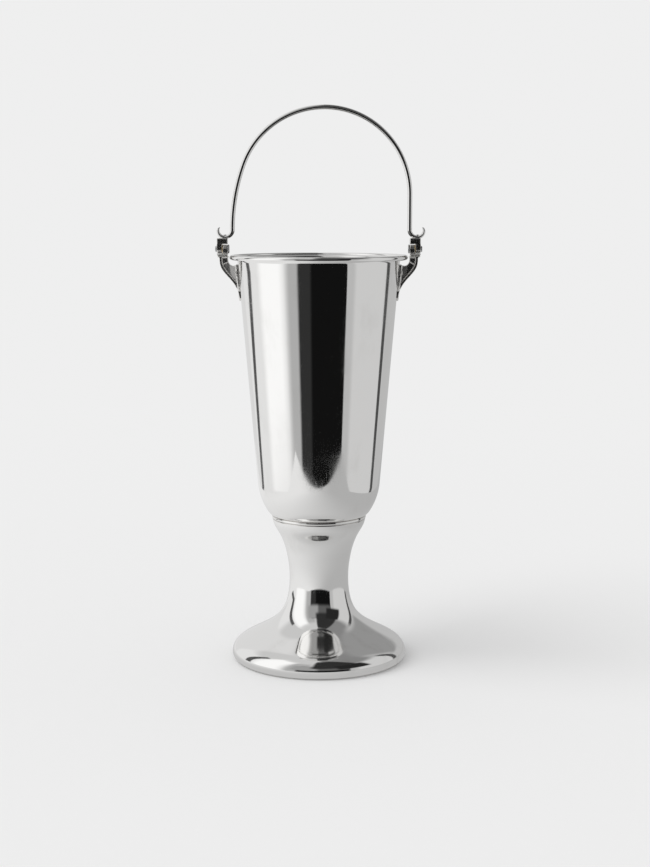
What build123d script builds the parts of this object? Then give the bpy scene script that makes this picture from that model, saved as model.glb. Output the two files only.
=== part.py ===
"""Champagne bucket on a pedestal foot, with a swinging bail handle hung on two cast brackets.

Millimetres, +Z up. The origin is the middle of the felt face that the stand rests on, the bucket's
axis is Z, and the bail's hinge pins lie along X.
"""

import math
import os

from build123d import *

# ---------------------------------------------------------------- driving dimensions
RIM_RADIUS = 100.0
BEAD_RADIUS = 2.7
RIM_HEIGHT = 460.4
SHELL_WALL = 1.4

TAPER = math.radians(4.89)
WALL_FOOT_R = 69.6
WALL_FOOT_Z = 204.9
SHOULDER_RADIUS = WALL_FOOT_R / math.cos(TAPER)
SHOULDER_Z = WALL_FOOT_Z + SHOULDER_RADIUS * math.sin(TAPER)
SHOULDER_END = 33.2
FLOOR_FILLET = 15.0
LIP_START_Z = 455.5
LIP_COVE = 4.6
LIP_END_R = 96.4

NECK_Z = 164.2
NECK_BEAD_R = 53.8
NECK_BEAD_HEIGHT = 3.6
NECK_BEAD_BULGE = 0.4
NECK_SPIGOT_Z = 158.2
SPIGOT_POINTS = [(50.0, NECK_SPIGOT_Z), (51.1, 161.0), (51.8, 163.4)]
NECK_BORE_R = 47.0

PEDESTAL_WALL = 1.2
FOOT_RADIUS = 100.0
HEM_Z = 0.8
HEM_INNER_R = 91.5
PEDESTAL_POINTS = [
    (53.3, NECK_Z),
    (52.5, 160.2),
    (49.9, 154.0),
    (46.4, 148.0),
    (43.3, 142.2),
    (40.4, 135.0),
    (38.3, 128.4),
    (36.4, 119.8),
    (34.7, 109.4),
    (33.8, 95.1),
    (34.5, 80.5),
    (37.2, 66.8),
    (42.4, 55.1),
    (51.4, 45.3),
    (65.9, 35.6),
    (79.0, 28.6),
    (89.0, 23.2),
    (95.6, 18.2),
    (99.1, 12.8),
    (FOOT_RADIUS, 7.6),
    (98.8, 3.2),
    (95.6, HEM_Z),
]

FELT_RADIUS = 93.0
PLATE_RADIUS = 90.8
PLATE_WALL = 1.5
CUP_RADIUS = 22.0
CUP_HEIGHT = 9.0
ROD_RADIUS = 4.0
ROD_LOW_Z = 1.8
ROD_CLEARANCE = 0.2
ROD_CHAMFER = 0.6
BOSS_RADIUS = 15.0
BOSS_HEIGHT = 9.0
BOSS_CHAMFER = 1.2
NUT_FLATS = 13.0
NUT_HEIGHT = 6.4
WASHER_RADIUS = 9.0
WASHER_WALL = 1.4
WEIGHT_BORE = 27.0
WEIGHT_RADIUS = 82.0
WEIGHT_SIDE_Z = 12.0
WEIGHT_TOP_RADIUS = 58.0
WEIGHT_TOP_Z = 27.0
WEIGHT_EDGE = 3.0

RIVET_RADIUS = 2.0
RIVET_HEAD_RADIUS = 3.6
RIVET_HEAD_HEIGHT = 1.6
RIVET_HEAD_TAPER = 35
RIVET_STAND_OFF = 0.35
RIVET_Y = 6.0
RIVET_Z = 443.0

HINGE_Z = 469.7
KNUCKLE_IN = 101.7
KNUCKLE_OUT = 114.1
LAP_X = 107.6
SHIM_WALL = 0.6
SHIM_LIP = 0.2
BARREL_RADIUS = 4.6
PIN_RADIUS = 2.5
PIN_CLEARANCE = 0.05
FACE_GAP = 0.1
LEDGE_GAP = 0.3
LEDGE_HALF_DEPTH = 8.0
LEDGE_THICK = 1.3
COLLAR_Z = 460.3
KNUCKLE_HALF_DEPTH = 4.6
KNUCKLE_BOTTOM = 474.9
KNUCKLE_TOP = 482.2
BLOCK_CORNER = 1.2
WEB_OVERLAP = 0.5
PIN_HEAD_RADIUS = 4.9
PIN_HEAD_WALL = 1.5
PIN_HEAD_EDGE = 0.7
PEEN_RADIUS = 3.4
PEEN_HEIGHT = 1.7
PEEN_EDGE = 0.9

PAD_WALL = 2.2
PAD_LOW_Z = 411.5
PAD_HIGH_Z = 452.5
PAD_HALF_WIDTH = 9.5
FLANGE_HALF_DEPTH = 6.0
FLANGE_THICK = 2.8
WEB_HALF_DEPTH = 2.2
ARM_HALF_DEPTH = 4.6
ARM_IN_X = 101.9
ARM_OUT_X = 111.2
BACK_POINTS = [
    (ARM_OUT_X, COLLAR_Z),
    (109.9, 450.5),
    (104.2, 441.8),
    (96.2, 432.6),
    (91.0, 423.4),
    (88.9, 414.5),
]
NOTCH_POINTS = [
    (91.8, 452.6),
    (93.2, 451.6),
    (97.6, 451.2),
    (100.9, 454.4),
    (ARM_IN_X, COLLAR_Z),
]
SHIELD_WAIST = (5.0, 424.0)
SHIELD_SIDE_Z = 441.0
SHIELD_CORNER = 3.0
COLLAR_OUT_X = 112.6
COLLAR_LIP = 0.6
COLLAR_DEPTH_LIP = 1.6
COLLAR_HEIGHT = 1.3
COLLAR_CORNER = 1.5

BAIL_THICK = 5.4
BAIL_WIDTH = 7.6
CROWN_X = 6.0
CROWN_Z = 530.0
CROWN_RADIUS = 95.6
LEFT_BREAK = 160.0
HOOK_Z = 490.6
HOOK_INNER = 5.9
HOOK_RINGS = [
    (0, 5.4, 7.6),
    (25, 5.0, 7.6),
    (50, 4.5, 7.8),
    (75, 4.1, 8.0),
    (100, 4.0, 8.0),
    (125, 3.9, 7.6),
    (150, 3.7, 6.8),
    (175, 3.2, 5.6),
    (195, 2.3, 4.0),
    (209, 1.0, 2.0),
]
BAIL_RIVET_RADIUS = 1.8
BAIL_RIVET_HEAD = 2.8
BAIL_RIVET_Z = KNUCKLE_BOTTOM + 0.8
BAIL_RIVET_SINK = 0.6
BAIL_RIVET_HEIGHT = 1.8
BAIL_RIVET_EDGE = 0.8


def wall_radius(z):
    """Outside radius of the bucket's straight wall at height z."""
    return WALL_FOOT_R + math.tan(TAPER) * (z - WALL_FOOT_Z)


def bucket_outline(inset):
    """The bucket's half section, from the axis to the end of the lip, moved in by inset."""
    taper = math.degrees(TAPER)
    shoulder = (0, SHOULDER_Z)
    end = math.radians(SHOULDER_END)
    floor_centre = (
        (SHOULDER_RADIUS - FLOOR_FILLET) * math.cos(end),
        SHOULDER_Z - (SHOULDER_RADIUS - FLOOR_FILLET) * math.sin(end),
    )
    cove = (
        wall_radius(LIP_START_Z) + LIP_COVE * math.cos(TAPER),
        LIP_START_Z - LIP_COVE * math.sin(TAPER),
    )
    floor = CenterArc(floor_centre, FLOOR_FILLET - inset, 270, 90 - SHOULDER_END)
    side = CenterArc(shoulder, SHOULDER_RADIUS - inset, 360 - SHOULDER_END, SHOULDER_END - taper)
    lip = CenterArc(cove, LIP_COVE + inset, 180 - taper, taper - 90)
    bottom = Line((0, (floor @ 0).Y), floor @ 0)
    Line(side @ 1, lip @ 0)
    edge = Line(lip @ 1, (LIP_END_R, (lip @ 1).Y))
    return bottom @ 0, edge @ 1


def inset_points(points, inset):
    """Points moved to the right of the way they run, square to the line through them."""
    moved = []
    for place, (x, z) in enumerate(points):
        before = points[max(place - 1, 0)]
        after = points[min(place + 1, len(points) - 1)]
        run = math.hypot(after[0] - before[0], after[1] - before[1])
        moved.append((x + inset * (after[1] - before[1]) / run, z - inset * (after[0] - before[0]) / run))
    return moved


# ---------------------------------------------------------------- bucket_shell: one spun shell
with BuildPart() as bucket_shell:
    with BuildSketch(Plane.XZ) as section:
        with BuildLine() as outline:
            outer_start, outer_end = bucket_outline(0)
            inner_start, inner_end = bucket_outline(SHELL_WALL)
            Line(outer_start, inner_start)
            Line(outer_end, inner_end)
        make_face()
    revolve(axis=Axis.Z)
    with BuildSketch(Plane.YZ) as rivet_holes:
        with Locations((RIVET_Y, RIVET_Z), (-RIVET_Y, RIVET_Z)):
            Circle(RIVET_RADIUS)
    extrude(amount=RIM_RADIUS, both=True, mode=Mode.SUBTRACT)
bucket_shell.part.label = "bucket_shell"

# ---------------------------------------------------------------- rim_moulding: round bead on the lip
with BuildPart() as rim_moulding:
    with BuildSketch(Plane.XZ) as section:
        with Locations((RIM_RADIUS - BEAD_RADIUS, RIM_HEIGHT)):
            Circle(BEAD_RADIUS)
    revolve(axis=Axis.Z)
    add(bucket_shell.part, mode=Mode.SUBTRACT)
rim_moulding.part.label = "rim_moulding"

# ---------------------------------------------------------------- neck_ring: turned ring at the joint
with BuildPart() as neck_ring:
    with BuildSketch(Plane.XZ) as section:
        with BuildLine() as outline:
            bead_low = (NECK_BEAD_R - NECK_BEAD_BULGE, NECK_Z)
            bead_high = (NECK_BEAD_R - NECK_BEAD_BULGE, NECK_Z + NECK_BEAD_HEIGHT)
            Polyline((NECK_BORE_R, NECK_SPIGOT_Z), *SPIGOT_POINTS, (SPIGOT_POINTS[-1][0], NECK_Z), bead_low)
            ThreePointArc(bead_low, (NECK_BEAD_R, NECK_Z + NECK_BEAD_HEIGHT / 2), bead_high)
            Polyline(bead_high, (NECK_BORE_R, NECK_Z + NECK_BEAD_HEIGHT), (NECK_BORE_R, NECK_SPIGOT_Z))
        make_face()
    revolve(axis=Axis.Z)
    # the bucket sits in the ring's hollowed top
    with BuildSketch(Plane.XZ) as bucket_core:
        with BuildLine() as outline:
            core_start, core_end = bucket_outline(0)
            Polyline(core_end, (core_end.X, RIM_HEIGHT), (0, RIM_HEIGHT), core_start)
        make_face()
    revolve(axis=Axis.Z, mode=Mode.SUBTRACT)
neck_ring.part.label = "neck_ring"

# ---------------------------------------------------------------- pedestal_shell: waist and foot, one spun shell
with BuildPart() as pedestal_shell:
    lining = inset_points(PEDESTAL_POINTS, PEDESTAL_WALL)
    lining[0] = (lining[0][0], NECK_Z)
    lining[-1] = (lining[-1][0], HEM_Z + PEDESTAL_WALL)
    with BuildSketch(Plane.XZ) as section:
        with BuildLine() as outline:
            Line(lining[0], PEDESTAL_POINTS[0])
            Spline(*PEDESTAL_POINTS)
            Polyline(
                PEDESTAL_POINTS[-1],
                (HEM_INNER_R, HEM_Z),
                (HEM_INNER_R, HEM_Z + PEDESTAL_WALL),
                lining[-1],
            )
            Spline(*lining)
        make_face()
    revolve(axis=Axis.Z)
pedestal_shell.part.label = "pedestal_shell"

# ---------------------------------------------------------------- base: felt, plate, weight
with BuildPart() as base_felt:
    with BuildSketch(Plane.XY) as disc:
        Circle(FELT_RADIUS)
    extrude(amount=HEM_Z)
base_felt.part.label = "base_felt"

plate_top = HEM_Z + PLATE_WALL
cup_top = plate_top + CUP_HEIGHT
with BuildPart() as base_plate:
    with BuildSketch(Plane.XZ) as section:
        with BuildLine() as outline:
            Polyline(
                (ROD_RADIUS + ROD_CLEARANCE, cup_top),
                (CUP_RADIUS + PLATE_WALL, cup_top),
                (CUP_RADIUS + PLATE_WALL, plate_top),
                (PLATE_RADIUS, plate_top),
                (PLATE_RADIUS, HEM_Z),
                (CUP_RADIUS, HEM_Z),
                (CUP_RADIUS, cup_top - PLATE_WALL),
                (ROD_RADIUS + ROD_CLEARANCE, cup_top - PLATE_WALL),
                close=True,
            )
        make_face()
    revolve(axis=Axis.Z)
base_plate.part.label = "base_plate"

with BuildPart() as ballast_weight:
    with BuildSketch(Plane.XZ) as section:
        with BuildLine() as outline:
            Polyline(
                (WEIGHT_BORE, plate_top),
                (WEIGHT_RADIUS, plate_top),
                (WEIGHT_RADIUS, WEIGHT_SIDE_Z),
                (WEIGHT_TOP_RADIUS, WEIGHT_TOP_Z),
                (WEIGHT_BORE, WEIGHT_TOP_Z),
                close=True,
            )
        make_face()
    revolve(axis=Axis.Z)
    fillet(ballast_weight.edges().group_by(Axis.Z)[-1].sort_by(SortBy.LENGTH)[-1], WEIGHT_EDGE)
ballast_weight.part.label = "ballast_weight"

# ---------------------------------------------------------------- tie rod, its boss, washer and nut
floor_z = SHOULDER_Z - (SHOULDER_RADIUS - FLOOR_FILLET) * math.sin(math.radians(SHOULDER_END)) - FLOOR_FILLET
with BuildPart() as bucket_boss:
    with BuildSketch(Plane.XY.offset(floor_z - BOSS_HEIGHT)) as disc:
        Circle(BOSS_RADIUS)
        Circle(ROD_RADIUS, mode=Mode.SUBTRACT)
    extrude(amount=BOSS_HEIGHT)
    chamfer(bucket_boss.edges().group_by(Axis.Z)[0].sort_by(SortBy.LENGTH)[-1], BOSS_CHAMFER)
bucket_boss.part.label = "bucket_boss"

with BuildPart() as tie_rod:
    with BuildSketch(Plane.XY.offset(ROD_LOW_Z)) as disc:
        Circle(ROD_RADIUS)
    extrude(amount=floor_z - ROD_LOW_Z)
    chamfer(tie_rod.edges().group_by(Axis.Z)[0], ROD_CHAMFER)
tie_rod.part.label = "tie_rod"

washer_z = cup_top - PLATE_WALL - WASHER_WALL
with BuildPart() as base_washer:
    with BuildSketch(Plane.XY.offset(washer_z)) as disc:
        Circle(WASHER_RADIUS)
        Circle(ROD_RADIUS + ROD_CLEARANCE, mode=Mode.SUBTRACT)
    extrude(amount=WASHER_WALL)
base_washer.part.label = "base_washer"

with BuildPart() as base_nut:
    with BuildSketch(Plane.XY.offset(washer_z - NUT_HEIGHT)) as hexagon:
        RegularPolygon(NUT_FLATS / 2, 6, major_radius=False)
        Circle(ROD_RADIUS, mode=Mode.SUBTRACT)
    extrude(amount=NUT_HEIGHT)
base_nut.part.label = "base_nut"

# ---------------------------------------------------------------- brackets: cast arms that carry the hinges
with BuildPart() as bracket_right:
    # mounting pad, a shield-shaped piece of the wall's own cone
    with BuildSketch(Plane.XZ) as section:
        with BuildLine() as outline:
            Polyline(
                (wall_radius(PAD_LOW_Z), PAD_LOW_Z),
                (wall_radius(PAD_LOW_Z) + PAD_WALL, PAD_LOW_Z),
                (wall_radius(PAD_HIGH_Z) + PAD_WALL, PAD_HIGH_Z),
                (wall_radius(PAD_HIGH_Z), PAD_HIGH_Z),
                close=True,
            )
        make_face()
    revolve(axis=Axis.Z)
    with BuildSketch(Plane.YZ) as shield:
        with BuildLine() as outline:
            side_low = (PAD_HALF_WIDTH, SHIELD_SIDE_Z)
            Spline((0, PAD_LOW_Z), SHIELD_WAIST, side_low, tangents=[(0.6, 1), (0, 1)])
            Polyline(
                side_low,
                (PAD_HALF_WIDTH, PAD_HIGH_Z - SHIELD_CORNER),
                (PAD_HALF_WIDTH - SHIELD_CORNER, PAD_HIGH_Z),
                (0, PAD_HIGH_Z),
            )
            mirror(about=Plane.YZ)
        make_face()
    extrude(amount=ARM_OUT_X, mode=Mode.INTERSECT)
    # web between the notch and the back
    with BuildSketch(Plane.XZ) as web:
        with BuildLine() as outline:
            Spline(*BACK_POINTS)
            tail_low = (wall_radius(BACK_POINTS[-1][1]) + WEB_OVERLAP, BACK_POINTS[-1][1])
            Polyline(BACK_POINTS[-1], tail_low, NOTCH_POINTS[0])
            Spline(*NOTCH_POINTS)
            Line(NOTCH_POINTS[-1], BACK_POINTS[0])
        make_face()
    extrude(amount=WEB_HALF_DEPTH, both=True)
    # flange along the back
    with BuildSketch(Plane.XZ) as flange:
        with BuildLine() as outline:
            lining = inset_points(BACK_POINTS, FLANGE_THICK)
            lining[0] = (lining[0][0], COLLAR_Z)
            Spline(*BACK_POINTS)
            Spline(*lining)
            Line(BACK_POINTS[0], lining[0])
            Line(BACK_POINTS[-1], lining[-1])
        make_face()
    extrude(amount=FLANGE_HALF_DEPTH, both=True)
    # arm thickens to a solid neck under the collar
    with BuildSketch(Plane.XZ) as neck:
        with BuildLine() as outline:
            Polyline(
                NOTCH_POINTS[-1],
                BACK_POINTS[0],
                (109.9, 451.4),
                (101.4, 455.4),
                close=True,
            )
        make_face()
    extrude(amount=ARM_HALF_DEPTH, both=True)
    # collar, ledge and inner hinge barrel
    ledge_top = HINGE_Z - BARREL_RADIUS - LEDGE_GAP
    block_x = (KNUCKLE_IN + KNUCKLE_OUT) / 2
    with BuildSketch(Plane.XY.offset(COLLAR_Z)) as collar:
        with Locations(((KNUCKLE_IN - COLLAR_LIP + COLLAR_OUT_X) / 2, 0)):
            collar_length = COLLAR_OUT_X - KNUCKLE_IN + COLLAR_LIP
            RectangleRounded(collar_length, 2 * (ARM_HALF_DEPTH + COLLAR_DEPTH_LIP), COLLAR_CORNER)
    extrude(amount=COLLAR_HEIGHT)
    with BuildSketch(Plane.XY.offset(COLLAR_Z + COLLAR_HEIGHT)) as throat:
        with Locations((block_x, 0)):
            RectangleRounded(KNUCKLE_OUT - KNUCKLE_IN - 1.0, 2 * ARM_HALF_DEPTH, BLOCK_CORNER)
    extrude(amount=ledge_top - LEDGE_THICK - COLLAR_Z - COLLAR_HEIGHT)
    with BuildSketch(Plane.XY.offset(ledge_top - LEDGE_THICK)) as ledge:
        with Locations((block_x, 0)):
            RectangleRounded(KNUCKLE_OUT - KNUCKLE_IN, 2 * LEDGE_HALF_DEPTH, COLLAR_CORNER)
    extrude(amount=LEDGE_THICK)
    with BuildSketch(Plane.YZ.offset(KNUCKLE_IN)) as barrel:
        with Locations((0, HINGE_Z)):
            Circle(BARREL_RADIUS)
        with Locations((0, (ledge_top - WEB_OVERLAP + HINGE_Z) / 2)):
            Rectangle(2 * BARREL_RADIUS, HINGE_Z - ledge_top + WEB_OVERLAP)
        with Locations((0, HINGE_Z)):
            Circle(PIN_RADIUS, mode=Mode.SUBTRACT)
    extrude(amount=LAP_X - KNUCKLE_IN)
    # rivet holes, square to the wall
    with BuildSketch(Plane.YZ.offset(wall_radius(RIVET_Z) - PAD_WALL)) as holes:
        with Locations((RIVET_Y, RIVET_Z), (-RIVET_Y, RIVET_Z)):
            Circle(RIVET_RADIUS)
    extrude(amount=2.4 * PAD_WALL, mode=Mode.SUBTRACT)
    # everything inside the bucket's wall line is cut away, so that the pad lies on the wall
    with BuildSketch(Plane.XZ) as wall_core:
        with BuildLine() as outline:
            core_low = PAD_LOW_Z - PAD_HALF_WIDTH
            core_high = LIP_START_Z
            Polyline(
                (0, core_low),
                (wall_radius(core_low), core_low),
                (wall_radius(core_high), core_high),
                (0, core_high),
                close=True,
            )
        make_face()
    revolve(axis=Axis.Z, mode=Mode.SUBTRACT)
bracket_right.part.label = "bracket_right"

with BuildPart() as bracket_left:
    add(mirror(bracket_right.part, about=Plane.YZ))
bracket_left.part.label = "bracket_left"

# ---------------------------------------------------------------- rivets that hold the brackets to the wall
rivet_wall_in = math.sqrt((wall_radius(RIVET_Z) - SHELL_WALL) ** 2 - RIVET_Y**2) - RIVET_STAND_OFF
rivet_wall_out = math.sqrt((wall_radius(RIVET_Z) + PAD_WALL) ** 2 - RIVET_Y**2) + RIVET_STAND_OFF
with BuildPart() as bracket_rivets_right:
    for side in (RIVET_Y, -RIVET_Y):
        with BuildSketch(Plane.YZ.offset(rivet_wall_in)) as shank:
            with Locations((side, RIVET_Z)):
                Circle(RIVET_RADIUS)
        extrude(amount=rivet_wall_out - rivet_wall_in)
        with BuildSketch(Plane.YZ.offset(rivet_wall_out)) as outer_head:
            with Locations((side, RIVET_Z)):
                Circle(RIVET_HEAD_RADIUS)
        extrude(amount=RIVET_HEAD_HEIGHT, taper=RIVET_HEAD_TAPER)
        with BuildSketch(Plane.YZ.offset(rivet_wall_in)) as inner_head:
            with Locations((side, RIVET_Z)):
                Circle(RIVET_HEAD_RADIUS)
        extrude(amount=-RIVET_HEAD_HEIGHT, taper=RIVET_HEAD_TAPER)
    add(bucket_shell.part, mode=Mode.SUBTRACT)
bracket_rivets_right.part.label = "bracket_rivets_right"

with BuildPart() as bracket_rivets_left:
    add(mirror(bracket_rivets_right.part, about=Plane.YZ))
bracket_rivets_left.part.label = "bracket_rivets_left"

# ---------------------------------------------------------------- hinge pins and the shims between the barrels
with BuildPart() as hinge_pin_right:
    with BuildSketch(Plane.YZ.offset(KNUCKLE_IN)) as shank:
        with Locations((0, HINGE_Z)):
            Circle(PIN_RADIUS)
    extrude(amount=KNUCKLE_OUT + FACE_GAP - KNUCKLE_IN)
    with BuildSketch(Plane.YZ.offset(KNUCKLE_IN)) as head:
        with Locations((0, HINGE_Z)):
            Circle(PIN_HEAD_RADIUS)
    extrude(amount=-PIN_HEAD_WALL)
    fillet(hinge_pin_right.edges().group_by(Axis.X)[0], PIN_HEAD_EDGE)
    with BuildSketch(Plane.YZ.offset(KNUCKLE_OUT + FACE_GAP)) as peen:
        with Locations((0, HINGE_Z)):
            Circle(PEEN_RADIUS)
    extrude(amount=PEEN_HEIGHT)
    fillet(hinge_pin_right.edges().group_by(Axis.X)[-1], PEEN_EDGE)
hinge_pin_right.part.label = "hinge_pin_right"

with BuildPart() as hinge_pin_left:
    add(mirror(hinge_pin_right.part, about=Plane.YZ))
hinge_pin_left.part.label = "hinge_pin_left"

with BuildPart() as hinge_shim_right:
    with BuildSketch(Plane.YZ.offset(LAP_X)) as ring:
        with Locations((0, HINGE_Z)):
            Circle(BARREL_RADIUS + SHIM_LIP)
            Circle(PIN_RADIUS, mode=Mode.SUBTRACT)
    extrude(amount=SHIM_WALL)
hinge_shim_right.part.label = "hinge_shim_right"

with BuildPart() as hinge_shim_left:
    add(mirror(hinge_shim_right.part, about=Plane.YZ))
hinge_shim_left.part.label = "hinge_shim_left"

# ---------------------------------------------------------------- bail_bar: forged arch that ends in two hooks
break_angle = math.radians(LEFT_BREAK)
crown_end = (CROWN_X + CROWN_RADIUS * math.cos(break_angle), CROWN_Z + CROWN_RADIUS * math.sin(break_angle))
left_sweep = 180 - LEFT_BREAK
left_radius = (crown_end[1] - HOOK_Z) / math.sin(math.radians(left_sweep))
left_leg_x = crown_end[0] - left_radius * (1 - math.cos(math.radians(left_sweep)))
right_leg_x = CROWN_X + CROWN_RADIUS
hook_reach = BAIL_THICK / 2 + HOOK_INNER
hook_centres = {-1: left_leg_x - hook_reach, 1: right_leg_x + hook_reach}


def hook_plane(side, turn, thick):
    """Plane across the hook at turn degrees round from the leg, with its own X in line with the hook's radius."""
    angle = math.radians(turn)
    out = (-side * math.cos(angle), 0, -math.sin(angle))
    reach = HOOK_INNER + thick / 2
    place = (hook_centres[side] + out[0] * reach, 0, HOOK_Z + out[2] * reach)
    along = (side * math.sin(angle), 0, -math.cos(angle))
    return Plane(origin=place, x_dir=out, z_dir=along)


with BuildPart() as bail_bar:
    with BuildLine(Plane.XZ) as path:
        Line((right_leg_x, HOOK_Z), (right_leg_x, CROWN_Z))
        CenterArc((CROWN_X, CROWN_Z), CROWN_RADIUS, 0, LEFT_BREAK)
        CenterArc((left_leg_x + left_radius, HOOK_Z), left_radius, LEFT_BREAK, left_sweep)
    with BuildSketch(Plane.XY.offset(HOOK_Z)) as bar_section:
        with Locations((right_leg_x, 0)):
            Ellipse(BAIL_THICK / 2, BAIL_WIDTH / 2)
    sweep(path=path.wires()[0])
    for side in (-1, 1):
        for turn, thick, wide in HOOK_RINGS:
            with BuildSketch(hook_plane(side, turn, thick)) as hook_section:
                Ellipse(thick / 2, wide / 2)
        loft()
    for side in (-1, 1):
        with BuildSketch(Plane.XY.offset(KNUCKLE_BOTTOM)) as rivet_hole:
            with Locations((hook_centres[side], 0)):
                Circle(BAIL_RIVET_RADIUS)
        extrude(amount=HOOK_Z - KNUCKLE_BOTTOM, mode=Mode.SUBTRACT)
bail_bar.part.label = "bail_bar"

# ---------------------------------------------------------------- bail knuckles: blocks under the hooks, turning on the pins
bail_knuckles = {}
bail_rivets = {}
for side, name in ((-1, "left"), (1, "right")):
    with BuildPart() as knuckle:
        with BuildSketch(Plane.XY.offset(KNUCKLE_BOTTOM)) as block:
            with Locations((side * (block_x + FACE_GAP / 2), 0)):
                RectangleRounded(KNUCKLE_OUT - KNUCKLE_IN - FACE_GAP, 2 * KNUCKLE_HALF_DEPTH, BLOCK_CORNER)
        extrude(amount=KNUCKLE_TOP - KNUCKLE_BOTTOM)
        with BuildSketch(Plane.YZ.offset(side * (LAP_X + SHIM_WALL + FACE_GAP))) as barrel:
            with Locations((0, HINGE_Z)):
                Circle(BARREL_RADIUS)
            with Locations((0, (HINGE_Z + KNUCKLE_BOTTOM + WEB_OVERLAP) / 2)):
                Rectangle(2 * BARREL_RADIUS, KNUCKLE_BOTTOM + WEB_OVERLAP - HINGE_Z)
            with Locations((0, HINGE_Z)):
                Circle(PIN_RADIUS + PIN_CLEARANCE, mode=Mode.SUBTRACT)
        extrude(amount=side * (KNUCKLE_OUT - LAP_X - SHIM_WALL - FACE_GAP))
        with BuildSketch(Plane.XY.offset(BAIL_RIVET_Z)) as rivet_hole:
            with Locations((hook_centres[side], 0)):
                Circle(BAIL_RIVET_RADIUS)
        extrude(amount=KNUCKLE_TOP - KNUCKLE_BOTTOM, mode=Mode.SUBTRACT)
        add(bail_bar.part, mode=Mode.SUBTRACT)
    knuckle.part.label = f"bail_knuckle_{name}"
    bail_knuckles[name] = knuckle.part
    with BuildPart() as rivet:
        with BuildSketch(Plane.XY.offset(BAIL_RIVET_Z)) as shank:
            with Locations((hook_centres[side], 0)):
                Circle(BAIL_RIVET_RADIUS)
        extrude(amount=HOOK_Z - HOOK_INNER - BAIL_RIVET_Z)
        with BuildSketch(Plane.XY.offset(HOOK_Z - HOOK_INNER - BAIL_RIVET_SINK)) as head:
            with Locations((hook_centres[side], 0)):
                Circle(BAIL_RIVET_HEAD)
        extrude(amount=BAIL_RIVET_HEIGHT)
        fillet(rivet.edges().group_by(Axis.Z)[-1], BAIL_RIVET_EDGE)
        add(bail_bar.part, mode=Mode.SUBTRACT)
    rivet.part.label = f"bail_rivet_{name}"
    bail_rivets[name] = rivet.part

# ---------------------------------------------------------------- write every piece
pieces = [
    bucket_shell.part,
    rim_moulding.part,
    neck_ring.part,
    pedestal_shell.part,
    base_felt.part,
    base_plate.part,
    ballast_weight.part,
    bucket_boss.part,
    tie_rod.part,
    base_washer.part,
    base_nut.part,
    bracket_right.part,
    bracket_left.part,
    bracket_rivets_right.part,
    bracket_rivets_left.part,
    hinge_pin_right.part,
    hinge_pin_left.part,
    hinge_shim_right.part,
    hinge_shim_left.part,
    bail_bar.part,
    *bail_knuckles.values(),
    *bail_rivets.values(),
]
os.makedirs("parts", exist_ok=True)
for piece in pieces:
    export_step(piece, f"parts/{piece.label}.step")
    print(piece.label, "solids", len(piece.solids()))
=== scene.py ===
"""Looks of a polished champagne bucket on a pedestal foot, with a swinging bail on two cast brackets."""

import logging
import math
from dataclasses import dataclass, field
from enum import Enum
from typing import Any, Iterable, Sequence

import bmesh
import bpy
import numpy as np
from mathutils import Matrix, Vector


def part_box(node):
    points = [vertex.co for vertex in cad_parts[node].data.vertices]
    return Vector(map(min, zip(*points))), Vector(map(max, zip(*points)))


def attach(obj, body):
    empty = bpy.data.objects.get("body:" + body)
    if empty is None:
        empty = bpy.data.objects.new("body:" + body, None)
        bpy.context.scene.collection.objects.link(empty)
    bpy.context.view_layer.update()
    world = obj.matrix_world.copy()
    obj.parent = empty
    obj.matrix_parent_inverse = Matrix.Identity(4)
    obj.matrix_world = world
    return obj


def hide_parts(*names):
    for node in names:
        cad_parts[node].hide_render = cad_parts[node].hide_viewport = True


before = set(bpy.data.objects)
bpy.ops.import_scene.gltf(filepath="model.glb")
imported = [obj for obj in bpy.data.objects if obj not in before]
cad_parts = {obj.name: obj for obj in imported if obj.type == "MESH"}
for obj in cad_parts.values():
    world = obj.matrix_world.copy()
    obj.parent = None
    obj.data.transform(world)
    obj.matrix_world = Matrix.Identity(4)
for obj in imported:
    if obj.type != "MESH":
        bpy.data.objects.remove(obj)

LOG = logging.getLogger("bucket_stand")
MM = 0.001
Point = tuple[float, float]


class Body(Enum):
    """The two bodies that move against each other."""

    STAND = "stand"
    BAIL = "bail"


class Side(Enum):
    """The two hinges, by the sign of their X."""

    LEFT = -1
    RIGHT = 1

    @property
    def word(self) -> str:
        """The side's name as piece names end with it."""
        return self.name.lower()


class Slot(Enum):
    """Material slots of the record."""

    POLISHED = "polished_plate"
    CAST = "cast_plate"
    STEEL = "plain_steel"
    BRASS = "plain_brass"
    FELT = "felt"


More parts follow.
